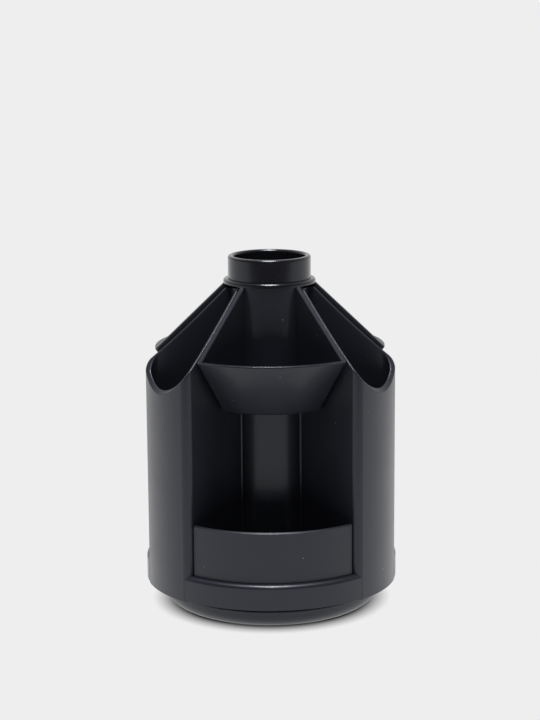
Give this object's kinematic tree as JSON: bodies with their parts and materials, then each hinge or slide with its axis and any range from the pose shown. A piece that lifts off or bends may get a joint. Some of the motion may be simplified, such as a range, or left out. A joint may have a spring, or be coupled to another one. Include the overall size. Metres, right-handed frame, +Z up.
{
  "type": "rotating desk organizer",
  "caption": "Round desk organizer with tall pockets, open two-tier trays and a centre tube that turns on a flat base.",
  "frame": {"origin": "centre of the base on the table plane", "axes": "+Z up along the turning axis, -Y toward the front bay"},
  "size_m": [0.1028, 0.1028, 0.1428],
  "materials": {
    "base_plastic": "satin",
    "body_plastic": "satin",
    "tray_plastic": "satin",
    "collar_plastic": "satin gloss",
    "glide_plastic": "smooth",
    "steel": "zinc plated",
    "foot_rubber": "matte"
  },
  "bodies": {
    "base": {"turntable_base": "base_plastic", "glide_ring": "glide_plastic", "rubber_foot_1": "foot_rubber", "rubber_foot_2": "foot_rubber", "rubber_foot_3": "foot_rubber", "rubber_foot_4": "foot_rubber"},
    "rotor": {"bottom_dish": "body_plastic", "body_shell": "body_plastic", "collar_ring": "collar_plastic", "pivot_washer": "steel", "pivot_screw": "steel", "upper_tray_1": "tray_plastic", "dish_screw_1": "steel", "upper_tray_2": "tray_plastic", "dish_screw_2": "steel", "upper_tray_3": "tray_plastic", "dish_screw_3": "steel"}
  },
  "joints": [
    {"name": "rotor_spin", "type": "hinge", "parent": "base", "child": "rotor", "pos_m": [0, 0, 0], "axis": [0, 0, 1], "continuous": true}
  ]
}
